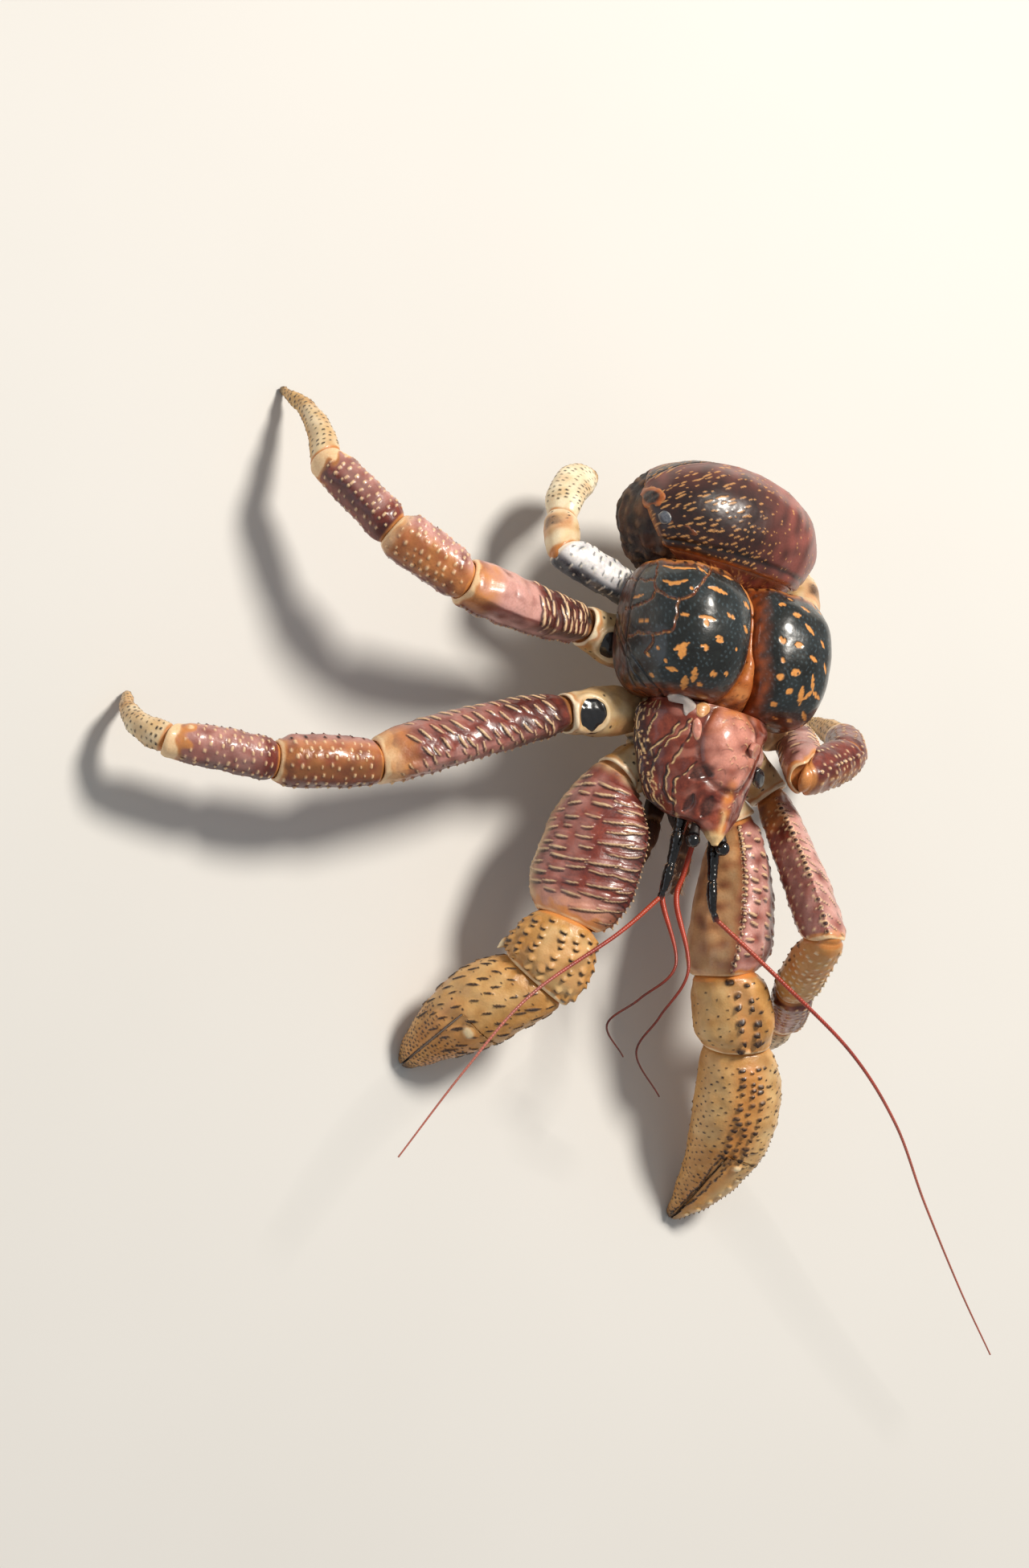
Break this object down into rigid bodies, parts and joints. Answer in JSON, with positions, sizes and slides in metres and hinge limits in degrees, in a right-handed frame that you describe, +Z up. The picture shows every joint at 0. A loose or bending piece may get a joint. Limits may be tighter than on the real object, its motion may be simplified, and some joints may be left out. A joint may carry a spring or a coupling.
{
  "type": "coconut crab model",
  "caption": "Life-size coconut crab standing on its claws and walking legs, with domed shell lobes, ridged limbs, a tucked abdomen and long red feelers.",
  "frame": {"origin": "middle of the model's box, on the floor that the feet stand on", "axes": "+Z up; the head points to -Y, the abdomen to +Y; the crab's left side is +X, along which its legs reach furthest"},
  "size_m": [0.5053, 0.3926, 0.1174],
  "materials": {
    "shell_dark": "polished blue-black shell with orange flecks and fine sutures",
    "shell_wine": "glossy wine-red shell with cream engraved lines and orange flecks",
    "shell_tan": "tan shell set with dark brown tubercles",
    "limb_plum": "plum to red-brown shell with cream transverse ridges",
    "limb_straw": "straw-coloured shell with fine dark dots",
    "hide_dark": "dark granular skin and hairy mouth limbs",
    "eye_black": "wet black eye",
    "feeler_red": "red feeler of many short rings"
  },
  "bodies": {
    "root": {"branchial_lobe_right": "shell_dark", "branchial_lobe_left": "shell_dark", "cardiac_wedge": "shell_tan", "cephalic_shield": "shell_wine", "sternum": "limb_straw", "abdomen": "hide_dark", "tergite_1": "shell_wine", "tergite_2": "shell_wine", "tergite_3": "shell_wine", "tergite_4": "shell_wine", "tail_fan": "limb_straw", "eyestalk_right": "hide_dark", "eye_right": "eye_black", "antenna_base_right": "hide_dark", "antenna_right": "feeler_red", "antennule_right": "feeler_red", "maxilliped_right": "hide_dark", "eyestalk_left": "hide_dark", "eye_left": "eye_black", "antenna_base_left": "hide_dark", "antenna_left": "feeler_red", "antennule_left": "feeler_red", "maxilliped_left": "hide_dark", "claw_right_base": "limb_straw", "claw_right_merus": "limb_plum", "claw_right_carpus": "shell_tan", "claw_right_palm": "shell_tan", "claw_right_finger": "shell_tan", "claw_left_base": "limb_straw", "claw_left_merus": "limb_plum", "claw_left_carpus": "shell_tan", "claw_left_palm": "shell_tan", "claw_left_finger": "shell_tan", "leg2_right_base": "limb_straw", "leg2_right_merus": "limb_plum", "leg2_right_carpus": "limb_plum", "leg2_right_propodus": "limb_plum", "leg2_right_dactyl": "limb_straw", "leg2_left_base": "limb_straw", "leg2_left_merus": "limb_plum", "leg2_left_carpus": "limb_plum", "leg2_left_propodus": "limb_plum", "leg2_left_dactyl": "limb_straw", "leg3_right_base": "limb_straw", "leg3_right_merus": "limb_plum", "leg3_right_carpus": "limb_plum", "leg3_right_propodus": "limb_plum", "leg3_right_dactyl": "limb_straw", "leg3_left_base": "limb_straw", "leg3_left_merus": "limb_plum", "leg3_left_carpus": "limb_plum", "leg3_left_propodus": "limb_plum", "leg3_left_dactyl": "limb_straw", "leg4_right_merus": "limb_plum", "leg4_right_carpus": "limb_plum", "leg4_right_hand": "limb_straw", "leg4_left_merus": "limb_plum", "leg4_left_carpus": "limb_plum", "leg4_left_hand": "limb_straw"}
  },
  "joints": []
}
